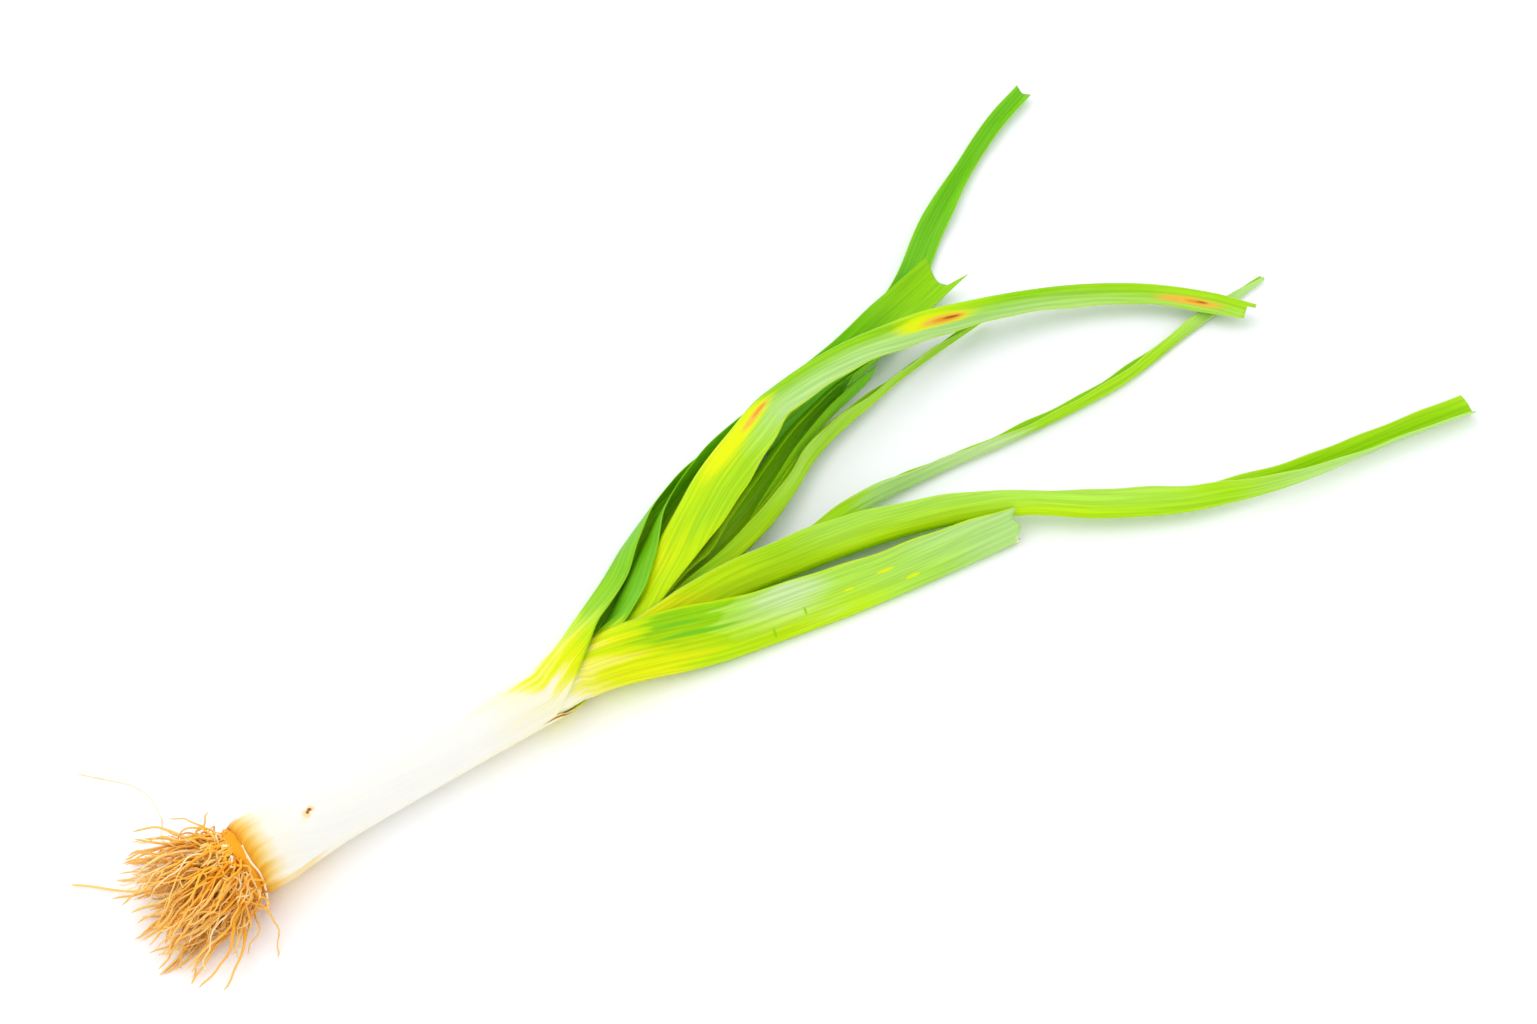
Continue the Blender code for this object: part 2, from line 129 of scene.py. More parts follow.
def add_node(tree, kind, values=None, links=None, **settings):
    """A node with its settings, its fixed input values and its links from other sockets."""
    made = tree.nodes.new(kind)
    for key, value in settings.items():
        setattr(made, key, value)
    for key, value in (values or {}).items():
        made.inputs[key].default_value = value
    for key, socket in (links or {}).items():
        tree.links.new(socket, made.inputs[key])
    return made


def new_finish(name, roughness, gloss):
    """An empty Principled material: its node tree and its shader."""
    made = bpy.data.materials.new(name)
    made.use_nodes = True
    shader = made.node_tree.nodes["Principled BSDF"]
    shader.inputs["Roughness"].default_value = roughness
    shader.inputs["Specular IOR Level"].default_value = gloss
    return made, made.node_tree, shader


def mesh_object(name, mesh):
    made = bpy.data.objects.new(name, mesh)
    bpy.context.scene.collection.objects.link(made)
    return made


table = bmesh.new()
bmesh.ops.create_grid(table, x_segments=1, y_segments=1, size=FLOOR_HALF * MM)
table_mesh = bpy.data.meshes.new("table")
table.to_mesh(table_mesh)
table.free()
floor = mesh_object("table", table_mesh)
paper, _, paper_shader = new_finish("matt_white_paper", PAPER_ROUGHNESS, PAPER_GLOSS)
paper_shader.inputs["Base Color"].default_value = linear("#FCFCFD")
table_mesh.materials.append(paper)

world = bpy.data.worlds.new("tent")
world.use_nodes = True
tent = world.node_tree.nodes["Background"]
tent.inputs["Color"].default_value = linear("#FBFCFF")
tent.inputs["Strength"].default_value = WORLD_STRENGTH
bpy.context.scene.world = world

key_data = bpy.data.lights.new("key", "AREA")
key_data.size = KEY_SIZE * MM
key_data.energy = KEY_POWER
key = bpy.data.objects.new("key", key_data)
key.location = KEY_PLACE * MM
key.rotation_euler = (KEY_TARGET - KEY_PLACE).to_track_quat("-Z", "Y").to_euler()
bpy.context.scene.collection.objects.link(key)
bpy.context.scene.view_settings.view_transform = "Standard"
print("Floor, world and key light are in place")

# %% [markdown]
# The shank first, as numbers. Its profile gives the outer radius along it: swollen at the root plate, slim in
# the middle, wider again where the leaves start to part. The pitch is how much smaller each sheath is than
# the one around it. The axis is lifted by the swollen base and bends aside at the neck.
# A leaf's rows are few, so a monotone curve runs between them. It never swings past a given value, as a
# common spline would.

# %% The shank's shape
LEFT, RIGHT = 1, -1  # the two ranks of leaves: the midrib is on the shank's +Y or -Y side
WALL = 0.8
FACET_FLAT = math.cos(math.radians(18.0))  # share of the radius at which the CAD base's facets lie
BASE_RADIUS = 18.4
SHANK_PROFILE = (  # x, outer radius
    (-8.0, 17.0),
    (-4.0, BASE_RADIUS),
    (6.0, BASE_RADIUS),
    (15.0, 17.3),
    (27.0, 15.8),
    (40.0, 14.6),
    (62.0, 13.7),
    (110.0, 13.0),
    (150.0, 12.9),
    (200.0, 13.8),
    (250.0, 15.0),
)
SHEATH_PITCH = (  # x, from the middle of one sheath's wall to the middle of the next
    (-8.0, 1.9),
    (4.0, 2.05),
    (14.0, 1.95),
    (34.0, 1.65),
    (62.0, 1.47),
    (110.0, 1.39),
    (150.0, 1.38),
    (200.0, 1.52),
    (250.0, 1.7),
)
AXIS_BEND = (  # x, how far the shank's axis has bent to +Y
    (-40.0, 0.0),
    (150.0, 0.0),
    (165.0, 0.7),
    (180.0, 2.0),
    (195.0, 4.2),
    (212.0, 8.0),
    (240.0, 16.0),
)
BASE_AXIS_HEIGHT = BASE_RADIUS * FACET_FLAT
AXIS_HEIGHT = (
    (-40.0, BASE_AXIS_HEIGHT),
    (6.0, BASE_AXIS_HEIGHT),
    (62.0, 15.9),
    (110.0, 15.4),
    (150.0, 15.5),
    (180.0, 15.8),
    (210.0, 15.2),
    (250.0, 15.0),
)
PLATE_SLOPE = 0.76


def monotone(at, known_at, known):
    """Values at the places in at of a smooth curve through the known ones, which never swings past them."""
    step = np.diff(known_at)
    slope = np.diff(known) / step
    tangent = np.zeros(len(known))
    tangent[0], tangent[-1] = slope[0], slope[-1]
    for i in range(1, len(known) - 1):
        if slope[i - 1] * slope[i] > 0:
            near = 2 * step[i] + step[i - 1]
            far = step[i] + 2 * step[i - 1]
            tangent[i] = (near + far) / (near / slope[i - 1] + far / slope[i])
    i = np.clip(np.searchsorted(known_at, at) - 1, 0, len(step) - 1)
    t = np.clip((at - known_at[i]) / step[i], 0, 1)
    return (
        known[i] * (1 + 2 * t) * (1 - t) ** 2
        + tangent[i] * step[i] * t * (1 - t) ** 2
        + known[i + 1] * t * t * (3 - 2 * t)
        - tangent[i + 1] * step[i] * t * t * (1 - t)
    )


def smoothstep(t):
    t = np.clip(t, 0, 1)
    return t * t * (3 - 2 * t)


def along_shank(x, table):
    places, values = np.array(table).T
    return monotone(np.asarray(x, float), places, values)


def sheath_radius(ring, x):
    return along_shank(x, SHANK_PROFILE) - WALL / 2 - along_shank(x, SHEATH_PITCH) * ring


def axis_slope(x):
    return (along_shank(x + 1, AXIS_BEND) - along_shank(x - 1, AXIS_BEND)) / 2


print("Shank radius at mid length:", float(along_shank(110, SHANK_PROFILE)), "mm")

# %% [markdown]
# One leaf is one surface. Along it runs s, the length of its midrib, and across it q, from one margin at -1
# to the other at 1. Every row says where the midrib is, which way the leaf faces, how wide it is, and how
# much each half turns: at once at the keel, and then evenly further out. A closed sheath is the row whose
# halves turn by 180 degrees in all, so that their margins meet.
# Where a leaf leaves the shank, it is stretched from its midrib over the sheaths inside it, like a tent over
# a log. neck_row works that out from the midrib's place, so that no leaf cuts the next one.

# %% The surface of a leaf
PLANE_TURN = 40.0  # along the leaf, in which its sections turn from the shank's way to its own
KEEL_SHARE = 0.2  # of a half's width, in which the keel makes its turn
CURL_START = 0.3  # of a half's width, where a blade starts its further turn
FLOOR_SOFTNESS = 1.2  # how gently a blade settles onto the table
SHEATH_SOFTNESS = 0.3
REST_TURN = 40.0  # along the leaf, from the one softness to the other
RIPPLE_START = 70.0  # beyond the mouth, where the margins start to wave
RIPPLE_TURN = 80.0
LONG_WAVE = (0.5, 13.0)  # height, and length to one radian
SHORT_WAVE = (0.3, 5.7)


def sheath_rows(ring, rank, mouth):
    """The rows of a closed tube, from the root plate to its mouth."""
    start = SHANK_PROFILE[0][0] + PLATE_SLOPE * ring
    known = sorted({x for x, _ in SHANK_PROFILE + AXIS_BEND})
    rows = []
    for x in [start] + [x for x in known if start + 1.5 < x < mouth - 4] + [mouth]:
        radius = float(sheath_radius(ring, x))
        turn = math.atan(float(axis_slope(x)))
        y = float(along_shank(x, AXIS_BEND)) + rank * radius * math.cos(turn)
        z = float(along_shank(x, AXIS_HEIGHT))
        row_x = x - rank * radius * math.sin(turn)
        rows.append((row_x, y, z, -90.0 * rank, math.pi * radius, 0.0, 180.0, 0.0))
    return rows


def neck_row(ring, x, y, z, width, slack=0.3):
    """A row that hangs from its midrib over the sheaths inside."""
    radius = float(sheath_radius(ring, x)) + slack
    to_axis_y = float(along_shank(x, AXIS_BEND)) - y
    to_axis_z = float(along_shank(x, AXIS_HEIGHT)) - z
    reach = max(math.hypot(to_axis_y, to_axis_z), radius * 1.01)
    roll = math.degrees(math.atan2(to_axis_y, to_axis_z))
    straight = math.sqrt(reach**2 - radius**2)
    keel = math.degrees(math.acos(radius / reach))
    curl = math.degrees(max(width - straight, 0.0) / radius)
    return (x, y, z, roll, width, keel, curl, min(straight / width, 0.9))


def section(q, width, keel, curl, straight, steps=32):
    """Across and inward distance of the place q on the cross-section, by adding up short chords."""
    share = (np.arange(steps) + 0.5) / steps
    at = np.abs(q)[..., None] * share
    further = np.clip((at - straight[..., None]) / (1 - straight[..., None]), 0, 1)
    turn = keel[..., None] * smoothstep(at / KEEL_SHARE) + curl[..., None] * further
    chord = width * np.abs(q) / steps
    return np.sign(q) * chord * np.cos(turn).sum(-1), chord * np.sin(turn).sum(-1)


def halves(width):
    """The widths of the -q and the +q half: one number where they are alike."""
    return width if isinstance(width, tuple) else (width, width)


class Leaf:
    """A leaf's rows, and the surface that runs through them."""

    def __init__(self, name, ring, rank, mouth, neck, blade, end=None):
        self.name = name
        self.ring = ring
        rows = sheath_rows(ring, rank, mouth)
        self.mouth_row = len(rows) - 1
        rows += [neck_row(ring, *row) for row in neck]
        rows += [(*row, CURL_START) for row in blade]
        rows = [(*row[:4], *halves(row[4]), *row[5:]) for row in rows]
        self.rows = np.array(rows, float)
        steps = np.linalg.norm(np.diff(self.rows[:, :3], axis=0), axis=1)
        self.stations = np.concatenate([[0.0], np.cumsum(steps)])
        self.length = self.stations[-1]
        self.mouth_at = self.stations[self.mouth_row]
        self.end = end

    def value(self, s, column):
        return monotone(s, self.stations, self.rows[:, column])

    def width(self, s, q):
        return np.where(q < 0, self.value(s, 4), self.value(s, 5))

    def midrib(self, s):
        return np.stack([self.value(s, c) for c in range(3)], -1)

    def direction(self, s):
        """The way that the sections face: along the shank in the sheath, along the midrib in the blade."""
        tangent = self.midrib(s + 0.5) - self.midrib(s - 0.5)
        tangent /= np.linalg.norm(tangent, axis=-1, keepdims=True)
        slope = axis_slope(self.value(s, 0))
        axis = np.stack([np.ones_like(slope), slope, np.zeros_like(slope)], -1)
        axis /= np.linalg.norm(axis, axis=-1, keepdims=True)
        share = smoothstep((s - self.mouth_at) / PLANE_TURN)[..., None]
        along = axis + (tangent - axis) * share
        return along / np.linalg.norm(along, axis=-1, keepdims=True)

    def point(self, s, q):
        along = self.direction(s)
        up = np.array([0.0, 0.0, 1.0]) - along[..., 2:] * along
        up /= np.linalg.norm(up, axis=-1, keepdims=True)
        left = np.cross(up, along)
        roll = np.radians(self.value(s, 3))[..., None]
        inward = np.cos(roll) * up + np.sin(roll) * left
        side = np.cross(inward, along)
        keel, curl, straight = (self.value(s, c) for c in (6, 7, 8))
        across, deep = section(q, self.width(s, q), np.radians(keel), np.radians(curl), straight)
        deep = deep + self.ripple(s, q)
        place = self.midrib(s) + side * across[..., None] + inward * deep[..., None]
        return self.rested(place, s)

    def ripple(self, s, q):
        """Margins that wave a little, once the blade is free of the neck."""
        free = smoothstep((s - self.mouth_at - RIPPLE_START) / RIPPLE_TURN)
        phase = 2.1 * self.ring + np.where(q > 0, 0.0, 1.7)
        long_wave = LONG_WAVE[0] * np.sin(s / LONG_WAVE[1] + phase)
        short_wave = SHORT_WAVE[0] * np.sin(s / SHORT_WAVE[1] + 2 * phase)
        return free * q * q * (long_wave + short_wave)

    def rested(self, place, s):
        """Places below the table lifted onto it, without a crease."""
        blade = smoothstep((s - self.mouth_at) / REST_TURN)
        softness = SHEATH_SOFTNESS + (FLOOR_SOFTNESS - SHEATH_SOFTNESS) * blade
        drop = place[..., 2] - WALL / 2
        place[..., 2] = WALL / 2 + (drop + np.sqrt(drop * drop + softness**2)) / 2
        return place

    def ended(self, s, q):
        """The places in s drawn back near the leaf's end, to the shape of that end."""
        if self.end is None:
            return s
        back = self.end(q)
        reach = 3.0 * back.max()
        return s - smoothstep((s - (self.length - reach)) / reach) * back


print("Margins wave by up to", LONG_WAVE[0] + SHORT_WAVE[0], "mm")

# %% [markdown]
# Leaves that were cut or torn at harvest don't end square. Each end is a function of q that says how far the
# leaf is drawn back there, in millimetres.

# %% The ends of the leaves


def slanted_end(q):
    return 24.0 * (1 - np.abs(q))


def frayed_end(q):
    return 2.0 * (1 + q) + 1.5 * (1 - np.sin(11 * q))


def spiked_end(q):
    return np.interp(q, (-1, -0.7, -0.3, 0.3, 1), (0, 14, 15, 12, 8))


def rounded_end(q):
    return 4.0 * q * q


def stepped_end(q):
    return 4.5 * smoothstep(4 * q)


print("A cut end is drawn back by", slanted_end(0.0), "mm at its keel")

# %% [markdown]
# The eight leaves, numbered from the outermost sheath inwards. Neck rows hold x, y and z of the midrib, half
# the width, and how slack the leaf hangs on the sheaths inside. Blade rows hold x, y, z, the roll (0 has the
# inner face up), half the width, the turn at the keel and the further turn.

# %% The leaves
LEAVES = [
    Leaf(
        "leaf_1", 0, LEFT, 150.0,
        [
            (155, 13.1, 14.5, 37, 0.6),
            (161, 15.5, 14.4, 34, 1.1),
            (172, 21, 14, 29, 2.0),
            (190, 31.5, 12.5, 22, 1.6),
            (213, 45, 10, 17.5, 0.5),
        ],
        [
            (235, 59, 7, -66, 17, 60, 10),
            (262, 72.5, 4.5, -56, 15, 50, 10),
            (293, 82, 2, -46, 13.5, 46, 8),
            (320, 85, 1, -30, 12, 38, 8),
            (350, 88.5, 1, -18, 11, 28, 8),
            (405, 101, 1, -16, 10, 22, 8),
            (459, 123.5, 1, -20, 9, 24, 8),
            (508, 158, 1.5, -18, 9.5, 36, 8),
            (554, 185.5, 2, -18, 6.8, 42, 8),
            (589, 203.5, 2.5, -15, 6.6, 38, 8),
            (622, 216, 3, -12, 6.2, 34, 8),
        ],
    ),
    Leaf(
        "leaf_2", 1, RIGHT, 168.0,
        [
            (173, -10.8, 14.3, 33, 0.4),
            (179, -11.6, 14, 31.5, 0.9),
            (190, -14, 12.8, 33, 1.8),
            (205, -17.5, 10, 31.5, 2.2),
            (222, -22, 7, 32, 0.8),
        ],
        [
            (240, -26, 4.8, 73, 31, 66, 14),
            (262, -29.5, 3, 70, 29, 66, 12),
            (312, -38, 1.8, 68, 27, 66, 12),
            (358, -44, 1.8, 68, 24, 66, 10),
            (408, -49.5, 2.5, 68, 19, 66, 8),
        ],
        end=frayed_end,
    ),
    Leaf(
        "leaf_3", 2, LEFT, 172.0,
        [
            (177, 11.8, 14.5, 26.5, 0.2),
            (183, 12.8, 14.5, 24, 0.5),
            (190, 14.9, 14.5, 21.5, 0.9),
            (201, 20.5, 14.7, 18, 0.4),
            (214, 30, 13.8, 18.5, 1.2),
        ],
        [
            (232, 44, 11.5, -72, 18.5, 60, 12),
            (258, 61.5, 8, -54, 18, 52, 10),
            (285, 74, 7, -46, 17, 48, 10),
            (304, 80.5, 6.5, -42, 16.5, 46, 8),
            (325, 85.5, 6.5, -44, 15.5, 39, 8),
            (352, 90.5, 6.5, -40, 14.5, 34, 8),
            (400, 99, 6.5, -31, 13.5, 27, 8),
            (445, 110.5, 7, -17, 13, 22, 6),
            (495, 124, 7, -12, 12.5, 16, 4),
        ],
        end=spiked_end,
    ),
    Leaf(
        "leaf_4", 3, RIGHT, 184.0,
        [
            (190, -5.2, 14.4, 23, 0.1),
            (196, -6, 14.2, 21, 0.0),
            (206, -5.8, 13.6, 20, 0.1),
            (222, -4.5, 12.6, 19.5, 0.6),
            (240, -3, 11.5, 20, 0.6),
        ],
        [
            (262, -2.5, 10.8, 78, 20, 64, 14),
            (300, -6.5, 10, 74, 20.5, 64, 12),
            (340, -13.5, 10, 76, 19, 62, 12),
            (380, -25.5, 10, 74, 16, 60, 12),
            (412, -41.4, 10.5, 70, 13, 60, 12),
            (444, -65.5, 9.5, 70, 15.5, 60, 12),
            (491, -89.5, 7, 58, 14.5, 62, 12),
            (546, -102.5, 3.5, 14, 12.5, 70, 8),
            (600, -109, 1.5, 8, 11, 58, 8),
            (656, -119, 1.5, 6, 10.5, 52, 8),
        ],
        end=rounded_end,
    ),
    Leaf(
        "leaf_5", 4, LEFT, 191.0,
        [
            (197, 11.6, 14.7, 18.5, 0.2),
            (204, 14.6, 15.3, 17.5, 0.4),
            (214, 21, 16.5, 18.5, 0.6),
            (228, 31, 18, 21, 0.8),
            (243, 41, 20, 24, 0.8),
        ],
        [
            (265, 54, 23, -104, (19, 30), 60, 16),
            (285, 65, 26.5, -106, (22, 31), 60, 14),
            (312, 76, 29.5, -108, (21, 27.5), 58, 14),
            (340, 86, 31.5, -112, (19.5, 23.2), 58, 12),
            (390, 91, 33, -130, 18, 56, 10),
            (439, 88, 30, -160, 15.5, 54, 8),
            (477, 80, 26, -172, 13, 54, 8),
            (521, 66.5, 21, -176, 11.5, 54, 8),
            (561, 46, 17, -176, 11, 54, 8),
            (593, 16.5, 15, -172, 10.5, 52, 8),
            (607, -2, 13.5, -170, 8, 50, 8),
        ],
        end=stepped_end,
    ),
    Leaf(
        "leaf_6", 5, RIGHT, 199.0,
        [
            (204, 0.6, 14.5, 14.5, 0.2),
            (211, 1.2, 14.5, 12.5, 0.4),
            (222, 3, 14.5, 11.5, 0.6),
            (238, 5, 14.3, 11, 0.6),
        ],
        [
            (262, 4, 14, 82, 10.5, 64, 8),
            (285, 3.5, 13, 82, 10, 66, 8),
            (312, 3.5, 11.8, 86, 9.5, 68, 8),
            (345, 8.5, 8.5, 74, 10, 68, 8),
            (375, 11.5, 4, 60, 9, 66, 8),
            (400, 10.5, 2.5, 50, 8, 64, 8),
            (441, 6.0, 2.0, 42, 6.5, 62, 8),
            (507, 3.0, 1.6, 40, 7.5, 64, 8),
            (579, 12, 1.6, 78, 6.4, 74, 8),
            (633, 18, 2.0, 50, 3, 66, 8),
        ],
    ),
    Leaf(
        "leaf_7", 6, LEFT, 205.0,
        [
            (210, 12.2, 14.6, 12, 0.1),
            (217, 14.6, 14.6, 10.5, 0.3),
            (228, 19.5, 14, 10.5, 0.5),
            (242, 26, 12.5, 12, 0.8),
        ],
        [
            (262, 33, 8.5, -66, 15, 48, 60),
            (285, 40.6, 6.2, -38, 16.5, 32, 118),
            (312, 51.2, 5.4, -20, 16.5, 34, 126),
            (350, 68.2, 5.8, -12, 15.5, 36, 126),
            (385, 79, 6.3, -8, 14.5, 38, 124),
            (412, 83.4, 8.6, -4, 9.5, 40, 110),
        ],
        end=slanted_end,
    ),
    Leaf(
        "leaf_8", 7, RIGHT, 211.0,
        [(216, 6.2, 14.6, 8.2, 0.1), (222, 7, 14.6, 7.4, 0.2), (234, 9, 15, 7.2, 0.3)],
        [
            (248, 11.5, 15.2, 86, 7.6, 70, 12),
            (266, 14, 15, 78, 8.6, 70, 10),
            (300, 25, 12, 58, 10.5, 78, 8),
            (325, 37.2, 10.6, 48, 10, 82, 6),
            (350, 51.6, 8.8, 46, 9, 84, 6),
            (370, 59.3, 7.8, 46, 7.6, 82, 6),
            (398, 66.4, 6.8, 46, 5.8, 78, 8),
            (423, 73, 5, 48, 4.4, 72, 8),
            (486, 82, 4, 48, 2.6, 66, 8),
        ],
    ),
]
for leaf in LEAVES:
    print(leaf.name, "is", round(leaf.length), "mm long, with its mouth at", round(leaf.mouth_at))

# %% [markdown]
# A leaf's mesh starts as a flat grid, as if the leaf were pressed. Each vertex is then moved to its place on
# the surface. Two UV maps are set while it is still flat: "leaf" holds the place along the whole leek and
# across the leaf, for colours, and "skin" holds true lengths, for the veins. Then the seam of the closed
# sheath is merged, and Solidify gives the leaf its wall, with the outer face as a second material.

# %% From a flat grid to a leaf
COLUMNS = 22  # in each half
ROW_STEP = 2.6
SEAM_WELD = 2e-6
LEEK_START, LEEK_END = -10.0, 660.0
SKIN_UNIT = 100.0  # millimetres to one unit of the "skin" map
THIN_MARGIN = 0.45  # a margin's thickness as a share of the midrib's


def reach(x):
    """A place along the leek as a share of its length."""
    return (x - LEEK_START) / (LEEK_END - LEEK_START)


def leaf_sheet(leaf, rows):
    """The leaf's surface without thickness, as a mesh, with its two UV maps."""
    sheet = bmesh.new()
    bmesh.ops.create_grid(sheet, x_segments=len(rows) - 1, y_segments=2 * COLUMNS, size=0.5)
    flat = np.array([vertex.co for vertex in sheet.verts])
    s = rows[np.rint((flat[:, 0] + 0.5) * (len(rows) - 1)).astype(int)]
    q = flat[:, 1] * 2
    s = leaf.ended(s, q)
    places = leaf.point(s, q)
    on_leaf = np.stack([reach(leaf.value(s, 0)), (q + 1) / 2], -1)
    on_skin = np.stack([s, q * leaf.width(s, q)], -1) / SKIN_UNIT
    thin = 1 - (1 - THIN_MARGIN) * np.abs(q) ** 3 * smoothstep((s - leaf.mouth_at) / 30.0)
    for layer_name, values in (("leaf", on_leaf), ("skin", on_skin)):
        layer = sheet.loops.layers.uv.new(layer_name)
        sheet.verts.index_update()
        for face in sheet.faces:
            for corner in face.loops:
                corner[layer].uv = values[corner.vert.index]
    weights = sheet.verts.layers.deform.new()
    for vertex, place, share in zip(sheet.verts, places, thin):
        vertex.co = Vector(place) * MM
        vertex[weights][0] = float(share)
    bmesh.ops.remove_doubles(sheet, verts=sheet.verts, dist=SEAM_WELD)
    mesh = bpy.data.meshes.new(leaf.name + "_skin")
    sheet.to_mesh(mesh)
    sheet.free()
    mesh.shade_smooth()
    return mesh


def leaf_piece(leaf, inner, outer):
    count = math.ceil(leaf.length / ROW_STEP)
    mesh = leaf_sheet(leaf, np.linspace(0.0, leaf.length, count + 1))
    mesh.materials.append(inner)
    mesh.materials.append(outer)
    piece = mesh_object("fine_" + leaf.name, mesh)
    piece.vertex_groups.new(name="thickness")
    wall = piece.modifiers.new("wall", "SOLIDIFY")
    wall.thickness = WALL * MM
    wall.offset = 0.0
    wall.vertex_group = "thickness"
    wall.material_offset = 1
    wall.material_offset_rim = 1
    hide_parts(leaf.name)
    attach(piece, "root")
    return piece


print("A leaf's mesh has", 2 * COLUMNS, "columns and a row every", ROW_STEP, "mm")

# %% [markdown]
# Leek skin is a living epidermis: smooth, with a satin shine, ribbed by parallel veins about a millimetre
# apart. The outer face carries a waxy bloom that turns green to a pale, bluish mint. The inner face has no
# bloom and is a deeper green. The part that grew in the soil, without light, is white.
# So each face gets colour bands along the leaf, on three lines: one margin, the keel and the other margin.
# The shader blends between the three lines, moves the bands about with noise so that no edge is ruled, and
# lays the veins over them as streaks of light and dark and as relief. A spot is a ragged oval of its own
# colour. A leaf is thin enough for light to pass. Subsurface scattering lets it spread inside, so that leaves
# which shade each other still glow.

# %% The finish of a leaf
VEIN_PITCH = 1.4  # millimetres; real veins are nearer 0.8, too fine to show from here
VEIN_LENGTH = 60.0
BLOTCH = 22.0
BAND_WOBBLE = 16.0  # how far, in millimetres, noise moves the colour bands
VEIN_RELIEF = 0.10
VEIN_STRENGTH = 0.35
VEIN_TONE = (0.86, 1.07)  # how dark and how light the veins make the skin
FAST_SHARE = 0.6  # of the wobble, from the fine noise, beside 1 from the slow one
NOISE_SWING = 0.25  # a noise runs about this far either way from its middle
NOISE_MIDDLE = 0.5
STEADY_UNTIL = 60.0  # nearer the plate than this, the bands move less
STEADY_SHARE = 0.2
LINE_EDGE = (0.12, 0.8)  # in q, where the keel's colours start and stop giving way to a margin's
MARGIN_EDGE = (0.945, 0.99)
MARGIN_SHARE = 0.8
SPOT_EDGE = (1.2, 0.2)  # squared distances at which a spot starts and is full
SPOT_RAGGEDNESS = 2.2
WAXY_ROUGHNESS = 0.45
GLOSSY_ROUGHNESS = 0.36
SKIN_GLOSS = 0.10  # the waxy skin scatters most of what it mirrors
GLOW_SHARE = 0.4  # of the light goes into the leaf and comes out elsewhere, on the far side too
GLOW_DEPTH = 2.5
GLOW_COLOUR = (1.0, 1.0, 0.7)  # how far red, green and blue light get


def bands(tree, where, stops):
    """Colours along the leek, as a ramp. stops are pairs of x in millimetres and a colour's name."""
    ramp = add_node(tree, "ShaderNodeValToRGB", links={"Fac": where})
    ramp.color_ramp.interpolation = "EASE"
    marks = ramp.color_ramp.elements
    while len(marks) < len(stops):
        marks.new(1.0)
    for mark, (x, colour) in zip(marks, stops):
        mark.position = reach(x)
        mark.color = linear(COLOURS[colour])
    return ramp.outputs["Color"]


def blend(tree, factor, first, second, mode="MIX"):
    made = add_node(tree, "ShaderNodeMix", data_type="RGBA", blend_type=mode)
    for socket, value in ((made.inputs["Factor"], factor), (made.inputs[6], first), (made.inputs[7], second)):
        if isinstance(value, (float, tuple)):
            socket.default_value = value
        else:
            tree.links.new(value, socket)
    return made.outputs[2]


def between(tree, value, low, high, to_low=0.0, to_high=1.0):
    """A value's share of the way from low to high, smoothly, on a new scale."""
    made = add_node(
        tree,
        "ShaderNodeMapRange",
        values={"From Min": low, "From Max": high, "To Min": to_low, "To Max": to_high},
        links={"Value": value},
        interpolation_type="SMOOTHSTEP",
    )
    return made.outputs["Result"]


def arithmetic(tree, operation, *terms):
    made = add_node(tree, "ShaderNodeMath", operation=operation)
    for socket, value in zip(made.inputs, terms):
        if isinstance(value, (int, float)):
            socket.default_value = value
        else:
            tree.links.new(value, socket)
    return made.outputs[0]


def streaks(tree, skin, length, pitch, detail=2.0):
    """Noise drawn out along the leaf, in cells of that length and width in millimetres."""
    stretched = add_node(
        tree,
        "ShaderNodeMapping",
        values={"Scale": (SKIN_UNIT / length, SKIN_UNIT / pitch, 1.0)},
        links={"Vector": skin},
    )
    made = add_node(
        tree,
        "ShaderNodeTexNoise",
        values={"Scale": 1.0, "Detail": detail},
        links={"Vector": stretched.outputs["Vector"]},
    )
    return made.outputs["Fac"]


def spot(tree, along, across, x, q, length, width, ragged):
    """A factor that is 1 in an oval round x and q and 0 outside it. The noise in ragged moves its edge."""
    from_x = arithmetic(tree, "SUBTRACT", along, reach(x))
    from_q = arithmetic(tree, "SUBTRACT", across, q)
    far_x = arithmetic(tree, "MULTIPLY", from_x, 1 / (reach(length) - reach(0)))
    far_q = arithmetic(tree, "MULTIPLY", from_q, 1 / width)
    square_x = arithmetic(tree, "MULTIPLY", far_x, far_x)
    square_q = arithmetic(tree, "MULTIPLY", far_q, far_q)
    squared = arithmetic(tree, "ADD", square_x, square_q)
    off_middle = arithmetic(tree, "SUBTRACT", ragged, NOISE_MIDDLE)
    shift = arithmetic(tree, "MULTIPLY", off_middle, SPOT_RAGGEDNESS)
    uneven = arithmetic(tree, "ADD", squared, shift)
    return between(tree, uneven, *SPOT_EDGE)


